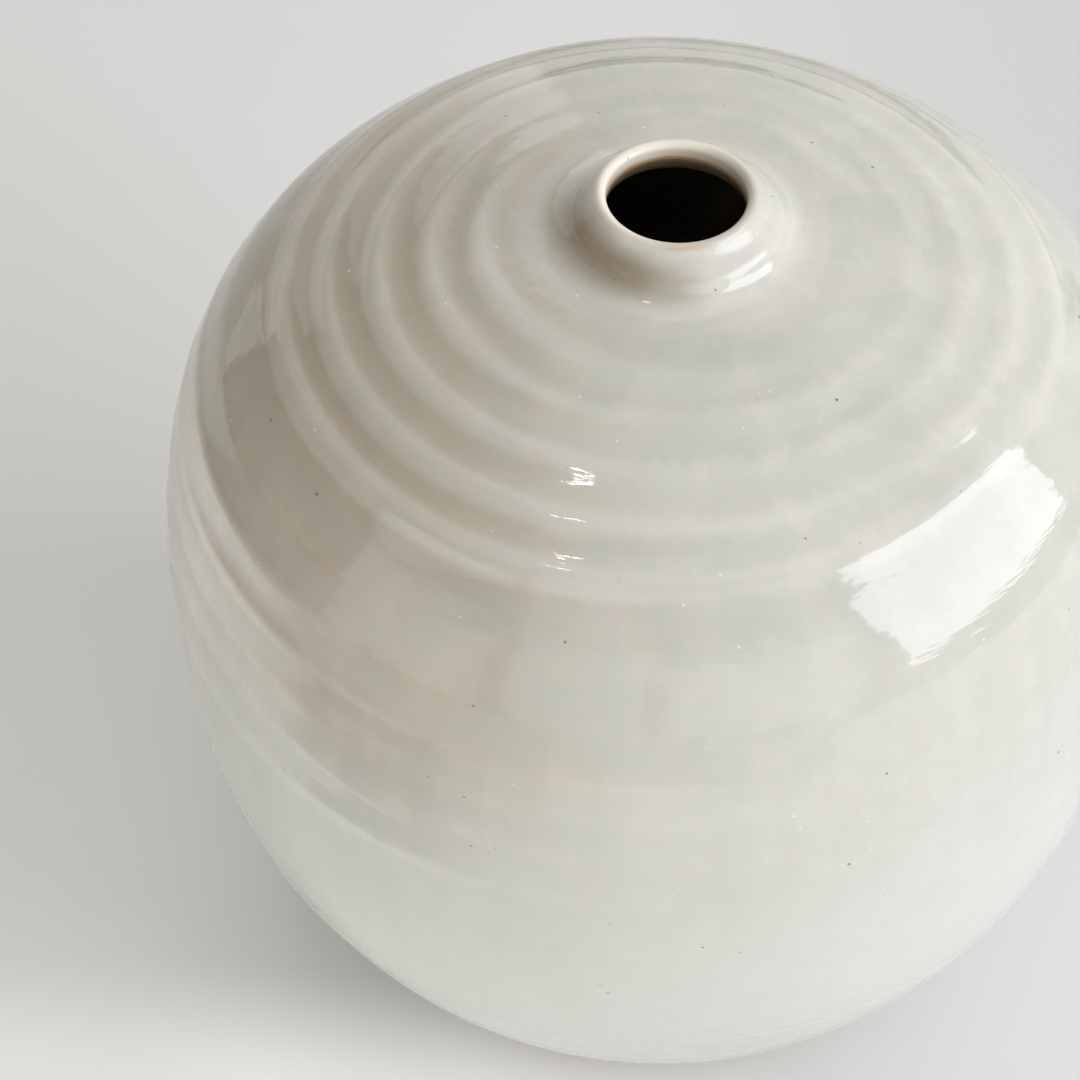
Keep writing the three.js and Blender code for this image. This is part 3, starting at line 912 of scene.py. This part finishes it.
# Dark cards
# Two black cards stand on the table out of sight, for the dark of the room that the left of the
# vase reflects. They thin out to nothing along their margins.
CARD_BLACK = (0.02, 0.018, 0.015, 1)
CARD_WORN = (0.03, 0.027, 0.023, 1)
CARD_ROUGHNESS = 0.9
CARD_CELLS = 40
card_finish, tree, shader = new_material("dark_card")
place = object_place(tree)
colour = blend(tree, noise(tree, place, 40, 2), CARD_BLACK, CARD_WORN)
cover = add(tree, "ShaderNodeAttribute", attribute_name="cover").outputs["Fac"]
tree.links.new(colour, shader.inputs["Base Color"])
tree.links.new(cover, shader.inputs["Alpha"])
shader.inputs["Roughness"].default_value = CARD_ROUGHNESS


def card(name, azimuth, spread, distance, low, high, fade):
    """A card that faces the vase: azimuth and width in degrees as it sees them, the rest in metres,
    and a fade along the margins as a share of the card."""
    card_bm = bmesh.new()
    bmesh.ops.create_grid(card_bm, x_segments=CARD_CELLS, y_segments=CARD_CELLS, size=0.5)
    corners = np.abs([v.co.xy for v in card_bm.verts])
    facing, wide = math.radians(azimuth), 2 * distance * math.tan(math.radians(spread) / 2)
    middle = Vector((distance * math.cos(facing), distance * math.sin(facing), (low + high) / 2))
    upright = Euler((math.pi / 2, 0, facing - math.pi / 2)).to_matrix().to_4x4()
    shape = Matrix.Diagonal((wide, high - low, 1, 1))
    bmesh.ops.transform(card_bm, verts=card_bm.verts,
                        matrix=Matrix.Translation(middle) @ upright @ shape)
    mesh = bpy.data.meshes.new(name)
    card_bm.to_mesh(mesh)
    card_bm.free()
    cover = smooth(0.5, 0.5 - fade, corners).prod(axis=1)
    mesh.attributes.new("cover", "FLOAT", "POINT").data.foreach_set("value", cover)
    mesh.materials.append(card_finish)
    piece = bpy.data.objects.new(name, mesh)
    piece.visible_camera = False
    piece.visible_shadow = False
    piece.visible_diffuse = False
    bpy.context.scene.collection.objects.link(piece)


card("left_card", 175, 50, 0.9, 0.015, 0.6, 0.02)
card("front_left_card", -137, 46, 0.27, -0.03, 0.17, 0.3)

# Room and lamps
# A large window to the right, white walls in front and behind on the right, screens at the left and
# a pale ceiling. The rest of the room is brown and dim.
ROOM = (0.132, 0.116, 0.095, 1)
DAYLIGHT = (0.85, 0.885, 0.985)
LAMP_DISTANCE = 2.4

world = bpy.data.worlds.new("room")
bpy.context.scene.world = world
world.use_nodes = True
seen = add(world.node_tree, "ShaderNodeLightPath").outputs["Is Camera Ray"]
room_colour = blend(world.node_tree, seen, ROOM, BACKGROUND)
world.node_tree.links.new(room_colour, world.node_tree.nodes["Background"].inputs["Color"])


def glow(name, wide, deep, radiance, fade):
    """A rectangle of light, with margins that fade out, that the camera doesn't see."""
    light = bpy.data.lights.new(name, "AREA")
    light.shape = "RECTANGLE"
    light.size, light.size_y = wide, deep
    light.energy = radiance * math.pi * wide * deep
    if fade:
        light.use_nodes = True
        tree = light.node_tree
        across = axes_of(tree, add(tree, "ShaderNodeNewGeometry").outputs["Parametric"])
        margins = []
        for way in across[:2]:
            from_middle = reckon(tree, "ABSOLUTE", reckon(tree, "SUBTRACT", way, 0.5))
            margins.append(remap(tree, from_middle, 0.5, 0.5 - fade))
        tree.links.new(times(tree, *margins), tree.nodes["Emission"].inputs["Strength"])
    fixture = bpy.data.objects.new(name, light)
    fixture.visible_camera = False
    bpy.context.scene.collection.objects.link(fixture)
    return fixture


def lamp(name, azimuth, elevation, spread, rise, radiance, fade=0.0):
    """A light that faces the vase, known by the degrees it fills there and its faded margin."""
    wide, deep = [2 * LAMP_DISTANCE * math.tan(math.radians(angle) / 2) for angle in (spread, rise)]
    fixture = glow(name, wide, deep, radiance, fade)
    level, facing = math.radians(elevation), math.radians(azimuth)
    to_lamp = Vector((math.cos(level) * math.cos(facing), math.cos(level) * math.sin(facing),
                      math.sin(level)))
    fixture.location = Vector((0, 0, BELLY.y)) + LAMP_DISTANCE * to_lamp
    fixture.rotation_euler = to_lamp.to_track_quat("Z", "Y").to_euler()
    return fixture


lamp("window", -14, 24, 46, 33, 5.3).data.color = DAYLIGHT
lamp("front_wall", -66, 16, 52, 42, 1.38, 0.25)
lamp("front_screen", -105, 16, 30, 42, 1.25, 0.12)
lamp("front_top", -108, 47, 26, 28, 1.05, 0.2)
lamp("left_screen", -143, 15, 34, 30, 0.5, 0.15)
# The two gleams are only seen in the glaze, and light nothing
lamp("left_screen_gleam", -142, 15, 36, 34, 0.9, 0.04).visible_diffuse = False
lamp("back_left_gleam", 124, 6, 50, 44, 0.7, 0.04).visible_diffuse = False
lamp("left_top", -138, 62, 40, 18, 0.3, 0.2)
lamp("ceiling", 0, 84, 60, 60, 1.1, 0.25)
lamp("right_wall", 67, 17, 90, 38, 1.0, 0.2)
lamp("right_top", 67, 47, 84, 32, 0.93, 0.25)
lamp("ceiling_lamp", -141, 74, 4.4, 1.4, 24)

# Three stretches of bright table out of sight, which light the low left and front from below: the
# middle of each, its width and depth, and its radiance
BRIGHT_TABLE = (("left_table", (-0.50, 0.02), 0.60, 0.75, 1.15),
                ("front_left_table", (-0.36, -0.30), 0.42, 0.42, 1.5),
                ("front_table", (0.05, -0.56), 0.8, 0.6, 0.8))
BRIGHT_TABLE_FADE = 0.48
OVER_TABLE = 4 * MM
for name, middle, wide, deep, radiance in BRIGHT_TABLE:
    reflector = glow(name, wide, deep, radiance, BRIGHT_TABLE_FADE)
    reflector.location = (*middle, OVER_TABLE)
    reflector.rotation_euler = (math.pi, 0, 0)

# Camera
# Above the table and in front of the vase, looking down on its shoulder through a long lens. The
# focal length is in pixels of the photograph.
CAMERA_PLACE = (0, -614.8 * MM, 825.2 * MM)
CAMERA_DOWN = math.radians(47.993)
CAMERA_LEFT = math.radians(3.194)
CAMERA_ROLL = math.radians(0.466)
FOCAL_LENGTH = 3200
PHOTO_WIDTH = 1080
SENSOR_WIDTH = 36
camera_data = bpy.data.cameras.new("camera")
camera_data.sensor_width = SENSOR_WIDTH
camera_data.lens = SENSOR_WIDTH * FOCAL_LENGTH / PHOTO_WIDTH
camera = bpy.data.objects.new("camera", camera_data)
aimed = Euler((math.pi / 2 - CAMERA_DOWN, 0, CAMERA_LEFT)).to_matrix()
camera.rotation_euler = (aimed @ Matrix.Rotation(CAMERA_ROLL, 3, "Z")).to_euler()
camera.location = CAMERA_PLACE
bpy.context.scene.collection.objects.link(camera)
bpy.context.scene.camera = camera
bpy.context.scene.view_settings.view_transform = "Standard"
